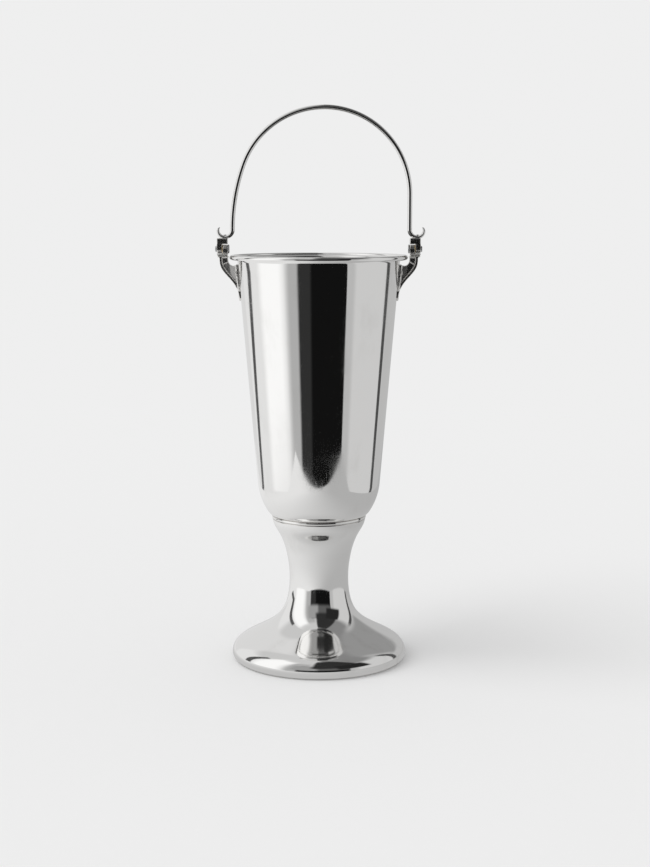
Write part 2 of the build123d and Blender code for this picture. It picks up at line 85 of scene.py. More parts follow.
# ---------------------------------------------------------------- shader graph
class Value:
    """A float socket that is used in plain arithmetic."""

    def __init__(self, graph: "Graph", socket: bpy.types.NodeSocket) -> None:
        """Wraps a socket of a graph."""
        self.graph = graph
        self.socket = socket

    def math(self, operation: str, *others: Any) -> "Value":
        """A Math node on this value and the others.

        Args:
            operation: the node's operation.
            others: numbers or values for its other sockets.

        Returns:
            The node's result.
        """
        return self.graph.math(operation, self, *others)

    def __add__(self, other: Any) -> "Value":
        """Sum."""
        return self.math("ADD", other)

    def __radd__(self, other: Any) -> "Value":
        """Sum, reflected."""
        return self.graph.math("ADD", other, self)

    def __sub__(self, other: Any) -> "Value":
        """Difference."""
        return self.math("SUBTRACT", other)

    def __rsub__(self, other: Any) -> "Value":
        """Difference, reflected."""
        return self.graph.math("SUBTRACT", other, self)

    def __mul__(self, other: Any) -> "Value":
        """Product."""
        return self.math("MULTIPLY", other)

    def __rmul__(self, other: Any) -> "Value":
        """Product, reflected."""
        return self.graph.math("MULTIPLY", other, self)

    def __truediv__(self, other: Any) -> "Value":
        """Quotient."""
        return self.math("DIVIDE", other)

    def smooth(self, low: float, high: float) -> "Value":
        """Smooth step from 0 at low to 1 at high.

        Args:
            low: where the step starts.
            high: where it ends.

        Returns:
            The stepped value.
        """
        kind = {"interpolation_type": "SMOOTHSTEP"}
        node = self.graph.node("ShaderNodeMapRange", kind, Value=self, From_Min=low, From_Max=high)
        return Value(self.graph, node.outputs["Result"])

    def between(self, low: float, high: float, soft: float) -> "Value":
        """Mask that is 1 from low to high and fades over soft outside them.

        Args:
            low: the mask's lower end.
            high: its upper end.
            soft: width of the fade at each end.

        Returns:
            The mask.
        """
        return self.smooth(low - soft, low) * (1.0 - self.smooth(high, high + soft))


class Graph:
    """A node tree with one way to add a node."""

    def __init__(self, tree: bpy.types.NodeTree) -> None:
        """Empties the tree and keeps it."""
        self.tree = tree
        tree.nodes.clear()

    def put(self, socket: bpy.types.NodeSocket, value: Any) -> None:
        """Links or sets one input.

        Args:
            socket: the input.
            value: a Value, a socket or a constant.
        """
        if isinstance(value, Value):
            value = value.socket
        if isinstance(value, bpy.types.NodeSocket):
            self.tree.links.new(value, socket)
        else:
            socket.default_value = value

    def node(self, kind: str, settings: dict[str, Any] | None = None, **inputs: Any) -> bpy.types.Node:
        """Adds a node, sets it and fills its inputs.

        Args:
            kind: the node's type.
            settings: its own settings; "stops" fills a colour ramp.
            inputs: values or links, by socket name with _ for a space, or i0, i1 for a socket's place.

        Returns:
            The node.
        """
        made = self.tree.nodes.new(kind)
        for name, value in (settings or {}).items():
            if name == "stops":
                self.stops(made.color_ramp, value)
            else:
                setattr(made, name, value)
        for name, value in inputs.items():
            place = name[1:]
            key = int(place) if name[0] == "i" and place.isdigit() else name.replace("_", " ")
            self.put(made.inputs[key], value)
        return made

    @staticmethod
    def stops(ramp: bpy.types.ColorRamp, stops: Sequence[tuple[float, float]]) -> None:
        """Fills a ramp with grey stops.

        Args:
            ramp: the ramp.
            stops: places and grey levels.
        """
        while len(ramp.elements) < len(stops):
            ramp.elements.new(0.5)
        for element, (place, grey) in zip(ramp.elements, stops):
            element.position = place
            element.color = (grey, grey, grey, 1.0)

    def math(self, operation: str, *values: Any) -> Value:
        """A Math node on up to three values.

        Args:
            operation: the node's operation.
            values: numbers or values.

        Returns:
            The node's result.
        """
        inputs = {f"i{place}": value for place, value in enumerate(values)}
        made = self.node("ShaderNodeMath", {"operation": operation}, **inputs)
        return Value(self, made.outputs[0])

    def blend(self, factor: Any, low: Any, high: Any) -> bpy.types.NodeSocket:
        """A colour between two others.

        Args:
            factor: 0 for low, 1 for high.
            low: a colour or a link.
            high: a colour or a link.

        Returns:
            The mixed colour.
        """
        made = self.node("ShaderNodeMix", {"data_type": "RGBA"}, i0=factor, i6=low, i7=high)
        return made.outputs[2]

    def place(self, scale: Sequence[float] = (1, 1, 1)) -> bpy.types.NodeSocket:
        """Object coordinates in metres, scaled.

        Args:
            scale: factor on each axis.

        Returns:
            The coordinates.
        """
        where = self.node("ShaderNodeTexCoord").outputs["Object"]
        return self.node("ShaderNodeMapping", Vector=where, Scale=scale).outputs[0]

    def noise(self, scale: float, detail: float = 2.0, stretch: Sequence[float] = (1, 1, 1)) -> Value:
        """Noise on object coordinates.

        Args:
            scale: how many waves in a metre.
            detail: octaves.
            stretch: factor on each axis.

        Returns:
            Noise around 0.5.
        """
        where = self.place(stretch)
        made = self.node("ShaderNodeTexNoise", None, Vector=where, Scale=scale, Detail=detail)
        return Value(self, made.outputs[0])

    def specks(self, cells: float, size: float) -> Value:
        """Small round specks, one in each cell.

        Args:
            cells: cells in a metre.
            size: a speck's radius as a share of its cell.

        Returns:
            1 on a speck.
        """
        made = self.node("ShaderNodeTexVoronoi", None, Vector=self.place(), Scale=cells)
        return 1.0 - Value(self, made.outputs["Distance"]).smooth(size * 0.6, size)

    def radius_height(self) -> tuple[Value, Value]:
        """Distance from the bucket's axis and height, in metres."""
        where = self.node("ShaderNodeTexCoord").outputs["Object"]
        parts = self.node("ShaderNodeSeparateXYZ", Vector=where).outputs
        x, y = Value(self, parts["X"]), Value(self, parts["Y"])
        return (x * x + y * y).math("SQRT"), Value(self, parts["Z"])

    def bump(self, height: Value, strength: float, distance: float) -> bpy.types.NodeSocket:
        """A Bump node.

        Args:
            height: the relief.
            strength: its share.
            distance: the relief's full height in metres.

        Returns:
            The bent normal.
        """
        made = self.node("ShaderNodeBump", None, Strength=strength, Distance=distance, Height=height)
        return made.outputs[0]

    def surface(self, **inputs: Any) -> None:
        """A Principled surface with its output.

        Args:
            inputs: the shader's sockets by name.
        """
        shader = self.node("ShaderNodeBsdfPrincipled", None, **inputs)
        self.node("ShaderNodeOutputMaterial", None, Surface=shader.outputs[0])


def new_material(name: str) -> tuple[bpy.types.Material, Graph]:
    """An empty material and its graph.

    Args:
        name: the material's name.

    Returns:
        The material and its graph.
    """
    made = bpy.data.materials.new(name)
    made.use_nodes = True
    return made, Graph(made.node_tree)


# ---------------------------------------------------------------- finishes
@dataclass(frozen=True)
class PlateFinish:
    """Silver plate over spun or cast metal.

    Fields give the plate's colour, its tarnish colour, which also paints shade at the seams, how dull it is,
    how strong each mark on it is, and the seam heights where a band of painted shade darkens the colour.
    """

    name: str
    colour: tuple[float, float, float] = (0.93, 0.925, 0.915)
    tarnish_and_seam_shade_colour: tuple[float, float, float] = (0.52, 0.50, 0.47)
    dull: float = 0.035
    haze: float = 0.05
    hairlines: float = 0.05
    specks: float = 0.12
    turning: float = 0.0
    ripple: float = 0.00002
    tarnish_share: float = 0.15
    recess: float = 0.0
    painted_seam_shade_heights: tuple[float, ...] = ()

    def build(self) -> bpy.types.Material:
        """The finished material."""
        made, graph = new_material(self.name)
        _, height = graph.radius_height()
        cloud = graph.noise(14.0, 4.0).smooth(0.42, 0.68)
        film = graph.noise(55.0, 3.0, (1, 1, 0.5)).smooth(0.45, 0.75)
        rubbed = graph.noise(900.0, 2.0, (1, 1, 0.04)).smooth(0.60, 0.72)
        crossed = graph.noise(700.0, 2.0, (0.05, 0.05, 1)).smooth(0.62, 0.74)
        dust = graph.specks(260.0, 0.075) * graph.noise(30.0).smooth(0.46, 0.60)
        roughness = self.dull + cloud * self.haze + film * (0.4 * self.haze)
        roughness = roughness + (rubbed + crossed) * self.hairlines + dust * self.specks
        tarnish_and_painted_seam_shade = cloud * film * self.tarnish_share
        # Painted shade: a dark band in the colour at each seam height, standing in for the shade in the
        # joint; the rest of the blend is random tarnish.
        for painted_seam_height in self.painted_seam_shade_heights:
            tarnish_and_painted_seam_shade = tarnish_and_painted_seam_shade + (1.0 - (height - painted_seam_height * MM).math("ABSOLUTE").smooth(0.0002, 0.0016)) * 0.55
        if self.recess:
            point = Value(graph, graph.node("ShaderNodeNewGeometry").outputs["Pointiness"])
            hollow = 1.0 - point.smooth(0.455, 0.502)
            tarnish_and_painted_seam_shade = tarnish_and_painted_seam_shade + hollow * self.recess
            roughness = roughness + hollow * 0.25
        tarnish_and_painted_seam_shade = tarnish_and_painted_seam_shade.math("MINIMUM", 1.0)
        relief = graph.noise(38.0, 1.0)
        if self.turning:
            rings = graph.noise(1.0, 2.0, (0.001, 0.001, 1500.0))
            relief = relief + rings * self.turning
        graph.surface(
            Base_Color=graph.blend(tarnish_and_painted_seam_shade, (*self.colour, 1.0), (*self.tarnish_and_seam_shade_colour, 1.0)),
            Metallic=1.0,
            Roughness=roughness,
            Normal=graph.bump(relief, 1.0, self.ripple),
        )
        return made


@dataclass(frozen=True)
class BareMetalFinish:
    """Turned or cast metal that is not plated."""

    name: str
    colour: tuple[float, float, float]
    shade: tuple[float, float, float]
    rough: float
    grain: float
    relief: float
    lay: tuple[float, float, float] = (1, 1, 1)

    def build(self) -> bpy.types.Material:
        """The finished material."""
        made, graph = new_material(self.name)
        cloud = graph.noise(60.0, 4.0).smooth(0.35, 0.7)
        grain = graph.noise(self.grain, 3.0, self.lay)
        graph.surface(
            Base_Color=graph.blend(cloud * 0.8, (*self.colour, 1.0), (*self.shade, 1.0)),
            Metallic=1.0,
            Roughness=self.rough + cloud * 0.15 + grain * 0.1,
            Normal=graph.bump(grain, 0.6, self.relief),
        )
        return made


@dataclass(frozen=True)
class FeltFinish:
    """Pressed wool felt."""

    name: str = "dark_felt"
    colour: tuple[float, float, float] = (0.07, 0.07, 0.075)
    worn: tuple[float, float, float] = (0.12, 0.12, 0.12)

    def build(self) -> bpy.types.Material:
        """The finished material."""
        made, graph = new_material(self.name)
        tufts = graph.noise(1800.0, 3.0)
        patches = graph.noise(45.0, 3.0).smooth(0.45, 0.7)
        graph.surface(
            Base_Color=graph.blend(patches * 0.5 + tufts * 0.3, (*self.colour, 1.0), (*self.worn, 1.0)),
            Roughness=0.92 + tufts * 0.06,
            Sheen_Weight=0.4,
            Normal=graph.bump(tufts, 0.8, 0.0004),
        )
        return made


@dataclass(frozen=True)
class Finishes:
    """Every finish on the object, built once."""

    bowl: bpy.types.Material = field(
        # painted shade: a dark band at the bowl's joint with the neck ring
        default_factory=lambda: PlateFinish("bowl_plate", painted_seam_shade_heights=(167.6,)).build()
    )
    lining: bpy.types.Material = field(
        default_factory=lambda: PlateFinish(
            "lining_plate", colour=(0.70, 0.69, 0.67), dull=0.14, haze=0.12, hairlines=0.12, turning=0.5,
            ripple=0.00003, tarnish_share=0.35,
        ).build()
    )
    foot: bpy.types.Material = field(
        default_factory=lambda: PlateFinish(
            "foot_plate", dull=0.05, haze=0.035, turning=0.8, ripple=0.000012, tarnish_share=0.22,
            # painted shade: dark bands at the neck ring's joints and along the foot's bottom edge by the
            # floor
            painted_seam_shade_heights=(167.6, 164.2, 0.9),
        ).build()
    )
    forged: bpy.types.Material = field(
        default_factory=lambda: PlateFinish(
            "bail_plate", dull=0.06, haze=0.08, hairlines=0.10, ripple=0.00006, tarnish_share=0.3,
        ).build()
    )
    cast: bpy.types.Material = field(
        default_factory=lambda: PlateFinish(
            "bracket_plate", colour=(0.90, 0.89, 0.87), tarnish_and_seam_shade_colour=(0.30, 0.29, 0.27), dull=0.19, haze=0.10,
            hairlines=0.05, ripple=0.00006, tarnish_share=0.2, recess=0.12,
        ).build()
    )
    steel: bpy.types.Material = field(
        default_factory=lambda: BareMetalFinish(
            "turned_steel", (0.56, 0.57, 0.58), (0.34, 0.33, 0.32), 0.28, 900.0, 0.00004, (1, 1, 0.05)
        ).build()
    )
    brass: bpy.types.Material = field(
        default_factory=lambda: BareMetalFinish(
            "turned_brass", (0.78, 0.58, 0.26), (0.42, 0.28, 0.12), 0.25, 700.0, 0.00004, (1, 1, 0.1)
        ).build()
    )
    iron: bpy.types.Material = field(
        default_factory=lambda: BareMetalFinish(
            "sand_cast_iron", (0.13, 0.125, 0.12), (0.22, 0.13, 0.08), 0.62, 420.0, 0.0005
        ).build()
    )
    felt: bpy.types.Material = field(default_factory=lambda: FeltFinish().build())


# ---------------------------------------------------------------- outlines and mesh work
def arc(centre: Point, radius: float, start: float, end: float, steps: int) -> list[Point]:
    """Points along a round arc.

    Args:
        centre: the arc's centre.
        radius: its radius.
        start: first angle in degrees.
        end: last angle.
        steps: how many pieces it has.

    Returns:
        steps + 1 points.
    """
    turns = [math.radians(start + (end - start) * step / steps) for step in range(steps + 1)]
    return [(centre[0] + radius * math.cos(turn), centre[1] + radius * math.sin(turn)) for turn in turns]


def smooth_through(points: Sequence[Point], spacing: float) -> list[Point]:
    """Points along a natural cubic spline, so that its curvature never jumps.

    Args:
        points: what the spline goes through.
        spacing: about how far apart the returned points are.

    Returns:
        The spline's points.
    """
    known = np.array(points, float)
    runs = np.linalg.norm(np.diff(known, axis=0), axis=1)
    places = np.concatenate([[0.0], np.cumsum(runs)])
    count = len(known)
    system, right = np.eye(count), np.zeros((count, 2))
    for row in range(1, count - 1):
        before, after = runs[row - 1], runs[row]
        system[row, row - 1 : row + 2] = before, 2 * (before + after), after
        slopes = (known[row + 1] - known[row]) / after - (known[row] - known[row - 1]) / before
        right[row] = 6 * slopes
    bend = np.linalg.solve(system, right)
    wanted = np.linspace(0, places[-1], int(places[-1] / spacing) + 2)
    spans = np.clip(np.searchsorted(places, wanted, side="right") - 1, 0, count - 2)
    out = []
    for place, span in zip(wanted, spans):
        run, ahead, behind = runs[span], places[span + 1] - place, place - places[span]
        here = (bend[span] * ahead**3 + bend[span + 1] * behind**3) / (6 * run)
        here = here + (known[span] / run - bend[span] * run / 6) * ahead
        here = here + (known[span + 1] / run - bend[span + 1] * run / 6) * behind
        out.append((float(here[0]), float(here[1])))
    return out


def moved_in(points: Sequence[Point], inset: float) -> list[Point]:
    """An outline moved to the right of the way it runs.

    Args:
        points: the outline.
        inset: how far.

    Returns:
        The moved outline.
    """
    line = np.array(points, float)
    ahead = np.gradient(line, axis=0)
    ahead = ahead / np.linalg.norm(ahead, axis=1)[:, None]
    moved = line + inset * np.stack([ahead[:, 1], -ahead[:, 0]], axis=1)
    return [(float(x), float(z)) for x, z in moved]


class Shape:
    """A mesh under way, in millimetres."""

    def __init__(self) -> None:
        """Starts with nothing."""
        self.bm = bmesh.new()

    def chain(self, points: Iterable[Point], closed: bool, depth: float = 0.0) -> list[Any]:
        """A line of vertices and edges in the XZ plane.

        Args:
            points: (x, z) of each vertex.
            closed: whether it closes on itself.
            depth: its Y.

        Returns:
            The vertices and edges.
        """
        verts = [self.bm.verts.new((x, depth, z)) for x, z in points]
        edges = [self.bm.edges.new(pair) for pair in zip(verts, verts[1:])]
        if closed:
            edges.append(self.bm.edges.new((verts[-1], verts[0])))
        return [*verts, *edges]

    def spin(
        self,
        outline: Sequence[Point],
        centre: Sequence[float] = (0, 0, 0),
        axis: Sequence[float] = (0, 0, 1),
        steps: int = 256,
        closed: bool = True,
    ) -> "Shape":
        """Turns an outline of (radius, length) about an axis through centre.

        Args:
            outline: radius from the axis and place along it.
            centre: a point on the axis.
            axis: the axis, Z or X.
            steps: pieces round.
            closed: whether the outline is a ring rather than a line that ends on the axis.

        Returns:
            This shape.
        """
        made = self.chain(outline, closed)
        verts = [item for item in made if isinstance(item, bmesh.types.BMVert)]
        if axis[0]:
            quarter = Matrix.Rotation(math.pi / 2, 3, "Y")
            bmesh.ops.rotate(self.bm, verts=verts, cent=(0, 0, 0), matrix=quarter)
        bmesh.ops.translate(self.bm, verts=verts, vec=centre)
        bmesh.ops.spin(
            self.bm, geom=made, cent=centre, axis=axis, angle=2 * math.pi, steps=steps, use_merge=True
        )
        bmesh.ops.remove_doubles(self.bm, verts=self.bm.verts[:], dist=1e-5)
        return self

    def slab(self, outline: Sequence[Point], half_depth: float, edge: float = 0.0) -> "Shape":
        """A plate with an XZ outline, half_depth to each side of Y = 0, with rounded edges.

        Args:
            outline: the plate's outline.
            half_depth: half its thickness.
            edge: radius along its edges.

        Returns:
            This shape.
        """
        made = self.chain(outline, True, -half_depth)
        edges = [item for item in made if isinstance(item, bmesh.types.BMEdge)]
        face = bmesh.ops.contextual_create(self.bm, geom=edges)["faces"]
        grown = bmesh.ops.extrude_face_region(self.bm, geom=face)["geom"]
        verts = [item for item in grown if isinstance(item, bmesh.types.BMVert)]
        bmesh.ops.translate(self.bm, verts=verts, vec=(0, 2 * half_depth, 0))
        if edge:
            rims = {e for v in verts for e in v.link_edges if all(o in verts for o in e.verts)}
            rims |= set(edges)
            self.round_edges(rims, edge)
        return self

    def block(self, low: Sequence[float], high: Sequence[float], edge: float) -> "Shape":
        """A box with rounded edges.

        Args:
            low: lowest corner.
            high: highest corner.
            edge: radius along its edges.

        Returns:
            This shape.
        """
        low, high = Vector(low), Vector(high)
        size = Matrix.Diagonal((*(high - low), 1.0))
        matrix = Matrix.Translation((low + high) / 2) @ size
        verts = bmesh.ops.create_cube(self.bm, size=1.0, matrix=matrix)["verts"]
        self.round_edges({e for v in verts for e in v.link_edges}, edge)
        return self

    def round_edges(self, edges: Iterable[bmesh.types.BMEdge], radius: float) -> None:
        """Rounds edges.

        Args:
            edges: which.
            radius: the rounding.
        """
        bmesh.ops.bevel(
            self.bm, geom=list(edges), offset=radius, segments=3, profile=0.5, affect="EDGES", material=-1
        )

    def bar(self, stations: Sequence[Matrix], segments: int, flatness: float = 1.0) -> "Shape":
        """A bar through round sections, closed at both ends.

        Args:
            stations: for each section, a matrix that takes the unit circle to it.
            segments: vertices round each section.
            flatness: 1 for an oval, less for flatter sides.

        Returns:
            This shape.
        """
        rings = []
        for station in stations:
            verts = bmesh.ops.create_circle(self.bm, segments=segments, radius=1.0)["verts"]
            for vert in verts:
                vert.co = Vector([math.copysign(abs(part) ** flatness, part) for part in vert.co])
            bmesh.ops.transform(self.bm, matrix=station, verts=verts)
            rings.append(list({edge for vert in verts for edge in vert.link_edges}))
        for near, far in zip(rings, rings[1:]):
            bmesh.ops.bridge_loops(self.bm, edges=near + far)
        for ring in (rings[0], rings[-1]):
            bmesh.ops.contextual_create(self.bm, geom=ring)
        return self

    def mirrored(self) -> "Shape":
        """The same shape on the other side of X = 0."""
        bmesh.ops.scale(self.bm, vec=(-1, 1, 1), verts=self.bm.verts[:])
        return self

    def outward(self) -> "Shape":
        """Turns every face outwards."""
        bmesh.ops.recalc_face_normals(self.bm, faces=self.bm.faces[:])
        return self

    def mesh(self, name: str) -> bpy.types.Mesh:
        """The mesh in millimetres.

        Args:
            name: its name.

        Returns:
            The mesh.
        """
        made = bpy.data.meshes.new(name)
        self.bm.to_mesh(made)
        self.bm.free()
        return made


def fused(shape: Shape, voxel: float, softness: int, bores: Sequence[Shape] = ()) -> Shape:
    """Melts overlapping closed shells into one skin with soft inner corners, as a casting has.

    Args:
        shape: the shells.
        voxel: the skin's grid.
        softness: rounds of smoothing.
        bores: shapes that are cut out afterwards.

    Returns:
        The one skin.
    """
    holder = bpy.data.objects.new("holder", shape.outward().mesh("holder"))
    bpy.context.scene.collection.objects.link(holder)
    skin = holder.modifiers.new("skin", "REMESH")
    skin.mode = "VOXEL"
    skin.voxel_size = voxel
    soften = holder.modifiers.new("soften", "SMOOTH")
    soften.factor = 0.5
    soften.iterations = softness
    cutters = []
    for bore in bores:
        cutter = bpy.data.objects.new("cutter", bore.outward().mesh("cutter"))
        bpy.context.scene.collection.objects.link(cutter)
        cut = holder.modifiers.new("cut", "BOOLEAN")
        cut.object = cutter
        cut.solver = "MANIFOLD"
        cutters.append(cutter)
    bpy.context.view_layer.update()
    graph = bpy.context.evaluated_depsgraph_get()
    melted = Shape()
    melted.bm.from_mesh(bpy.data.meshes.new_from_object(holder.evaluated_get(graph)))
    for gone in (holder, *cutters):
        bpy.data.objects.remove(gone)
    return melted


def piece(
    name: str,
    shape: Shape,
    material: bpy.types.Material,
    body: Body,
    slot: Slot,
    replaces: Sequence[str] = (),
) -> bpy.types.Object:
    """Finishes a shape as an object on its body.

    Args:
        name: the piece's name.
        shape: its mesh in millimetres.
        material: its finish.
        body: the body that it moves with.
        slot: the record's material slot; not used.
        replaces: CAD nodes that it stands for.

    Returns:
        The object.
    """
    bmesh.ops.scale(shape.bm, vec=(MM, MM, MM), verts=shape.bm.verts[:])
    mesh = shape.mesh(name)
    mesh.polygons.foreach_set("use_smooth", [True] * len(mesh.polygons))
    mesh.materials.append(material)
    made = bpy.data.objects.new(name, mesh)
    bpy.context.scene.collection.objects.link(made)
    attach(made, body.value)
    if replaces:
        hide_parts(*replaces)
    LOG.info("%s: %d faces, on %s", name, len(mesh.polygons), body.value)
    return made


def box_mm(node: str) -> tuple[Vector, Vector]:
    """A CAD node's box in millimetres.

    Args:
        node: its name.

    Returns:
        Its lowest and highest corner.
    """
    low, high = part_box(node)
    return low / MM, high / MM


# ---------------------------------------------------------------- the bucket
@dataclass
class Bucket:
    """Spun bucket with its rim bead and the turned ring under it. Millimetres."""

    finishes: Finishes
    wall: float = 1.4
    taper: float = 4.89
    wall_foot: Point = (69.6, 204.9)
    shoulder_end: float = 33.2
    floor_fillet: float = 15.0
    lip_start: float = 455.5
    lip_cove: float = 4.6
    lip_end: float = 96.4
    bead: float = 2.7
    neck_low: float = 164.2
    neck_bead: float = 53.8
    neck_height: float = 3.6
    neck_bulge: float = 0.4
    neck_corner: float = 0.3
    neck_bore: float = 47.0
    spigot: tuple[Point, ...] = ((50.0, 158.2), (51.1, 161.0), (51.8, 163.4))

    @property
    def shoulder(self) -> float:
        """Radius of the round shoulder, centred on the axis."""
        return self.wall_foot[0] / math.cos(math.radians(self.taper))

    @property
    def shoulder_height(self) -> float:
        """Height of the shoulder's centre."""
        return self.wall_foot[1] + self.shoulder * math.sin(math.radians(self.taper))

    def wall_radius(self, height: float) -> float:
        """Outer radius of the straight wall.

        Args:
            height: where.

        Returns:
            The radius.
        """
        return self.wall_foot[0] + math.tan(math.radians(self.taper)) * (height - self.wall_foot[1])

    @property
    def floor_corner(self) -> Point:
        """Centre of the rounding between floor and shoulder."""
        end = math.radians(self.shoulder_end)
        reach = self.shoulder - self.floor_fillet
        return reach * math.cos(end), self.shoulder_height - reach * math.sin(end)

    def underside(self, reach: float) -> float:
        """Height of the outer face where the ring touches it.

        Args:
            reach: radius there.

        Returns:
            The height.
        """
        across, up = self.floor_corner
        return up - math.sqrt(self.floor_fillet**2 - (reach - across) ** 2)

    def outline(self, inset: float) -> list[Point]:
        """Half section from the axis to the lip.

        Args:
            inset: how far it lies inside the outer face.

        Returns:
            The section's points.
        """
        slope = math.radians(self.taper)
        cove = (
            self.wall_radius(self.lip_start) + self.lip_cove * math.cos(slope),
            self.lip_start - self.lip_cove * math.sin(slope),
        )
        floor = arc(self.floor_corner, self.floor_fillet - inset, 270, 360 - self.shoulder_end, 12)
        side = arc((0, self.shoulder_height), self.shoulder - inset, -self.shoulder_end, -self.taper, 40)
        lip = arc(cove, self.lip_cove + inset, 180 - self.taper, 90, 10)
        across = [(floor[0][0] * share, floor[0][1]) for share in (0, 0.08, 0.25, 0.5, 0.75)]
        up = [
            (side[-1][0] + (lip[0][0] - side[-1][0]) * share, side[-1][1] + (lip[0][1] - side[-1][1]) * share)
            for share in np.linspace(0, 1, 26)[1:-1]
        ]
        return [*across, *floor, *side[1:], *up, *lip, (self.lip_end, lip[-1][1])]

    def build_shell(self) -> bpy.types.Object:
        """The bucket's shell, polished outside and satin inside."""
        outer, inner = self.outline(0.0), self.outline(self.wall)
        shape = Shape().spin([*outer, *reversed(inner)], closed=False).outward()
        made = piece("bucket", shape, self.finishes.bowl, Body.STAND, Slot.POLISHED, ["bucket_shell"])
        made.data.materials.append(self.finishes.lining)
        for face in made.data.polygons:
            centre = face.center / MM
            reach = math.hypot(centre.x, centre.y)
            mid_wall = self.wall_radius(centre.z) - self.wall / 2
            inside_wall = centre.z > self.shoulder_height and reach < mid_wall
            from_centre = math.hypot(reach, centre.z - self.shoulder_height)
            inside_bowl = centre.z <= self.shoulder_height and face.normal.z > -0.001 and (
                from_centre < self.shoulder - self.wall / 2
            )
            face.material_index = int(inside_wall or inside_bowl)
        return made

    def build_bead(self) -> bpy.types.Object:
        """The round bead on the lip."""
        low, high = box_mm("rim_moulding")
        ring = arc((high.x - self.bead, (low.z + high.z) / 2), self.bead, 0, 360, 40)[:-1]
        shape = Shape().spin(ring).outward()
        return piece("rim_bead", shape, self.finishes.bowl, Body.STAND, Slot.POLISHED, ["rim_moulding"])

    def build_neck(self) -> bpy.types.Object:
        """The turned ring between bucket and pedestal."""
        half, bulge, corner = self.neck_height / 2, self.neck_bulge, self.neck_corner
        bend = (half**2 + bulge**2) / (2 * bulge)
        span = math.degrees(math.asin(half / bend))
        edge = self.neck_bead - bulge - corner
        low = arc((edge, self.neck_low + corner), corner, -90, -span, 4)
        bead = arc((self.neck_bead - bend, self.neck_low + half), bend, 4 - span, span - 5, 10)
        high = arc((edge, self.underside(edge) - corner), corner, span, 80, 4)
        seat = [(reach, self.underside(reach) - 0.03) for reach in (52.5, 51.0, 49.0, self.neck_bore)]
        ring = [(self.neck_bore, self.spigot[0][1]), *self.spigot, *low, *bead, *high, *seat]
        shape = Shape().spin(ring).outward()
        return piece("neck_bead", shape, self.finishes.foot, Body.STAND, Slot.POLISHED, ["neck_ring"])

    def build(self) -> None:
        """Builds every piece of the bucket."""
        self.build_shell()
        self.build_bead()
        self.build_neck()


# ---------------------------------------------------------------- the pedestal
@dataclass
class Pedestal:
    """Spun pedestal with its felt. Millimetres."""

    finishes: Finishes
    wall: float = 1.2
    hem: float = 0.8
    hem_inner: float = 91.5
    outline: tuple[Point, ...] = (
        (53.3, 164.2),
        (52.5, 160.2),
        (49.9, 154.0),
        (46.4, 148.0),
        (43.3, 142.2),
        (40.4, 135.0),
        (38.3, 128.4),
        (36.4, 119.8),
        (34.7, 109.4),
        (33.8, 95.1),
        (34.5, 80.5),
        (37.2, 66.8),
        (42.4, 55.1),
        (51.4, 45.3),
        (65.9, 35.6),
        (79.0, 28.6),
        (89.0, 23.2),
        (95.6, 18.2),
        (99.1, 12.8),
        (100.0, 7.6),
        (98.8, 3.2),
        (95.6, 0.8),
    )
    felt_edge: float = 0.25

    def build_shell(self) -> bpy.types.Object:
        """The waist and foot, one shell with a turned-in hem."""
        outer = smooth_through(self.outline, 1.1)
        lining = moved_in(outer, self.wall)[1:-1]
        ring = [*outer, (self.hem_inner, self.hem), (self.hem_inner, self.hem + self.wall)]
        ring += [*reversed([point for point in lining if point[1] > self.hem + self.wall])]
        shape = Shape().spin(ring).outward()
        return piece("pedestal", shape, self.finishes.foot, Body.STAND, Slot.POLISHED, ["pedestal_shell"])

    def build_felt(self) -> bpy.types.Object:
        """The felt disc, with a soft cut edge."""
        low, high = box_mm("base_felt")
        edge = self.felt_edge
        outline = [(0, low.z), (high.x - edge, low.z), *arc((high.x - edge, low.z + edge), edge, -60, 0, 3)]
        outline += [*arc((high.x - edge, high.z - edge), edge, 0, 90, 4), (0, high.z)]
        shape = Shape().spin(outline, steps=128, closed=False).outward()
        return piece("felt_disc", shape, self.finishes.felt, Body.STAND, Slot.FELT, ["base_felt"])

    def dress_inside(self) -> None:
        """Gives the pieces inside the foot their own metals."""
        kinds = {
            "base_plate": self.finishes.steel,
            "ballast_weight": self.finishes.iron,
            "tie_rod": self.finishes.steel,
            "bucket_boss": self.finishes.brass,
            "base_washer": self.finishes.steel,
            "base_nut": self.finishes.steel,
        }
        for node, material in kinds.items():
            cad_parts[node].data.materials.clear()
            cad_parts[node].data.materials.append(material)
            LOG.info("%s: dressed", node)

    def build(self) -> None:
        """Builds every piece of the pedestal."""
        self.build_shell()
        self.build_felt()
        self.dress_inside()


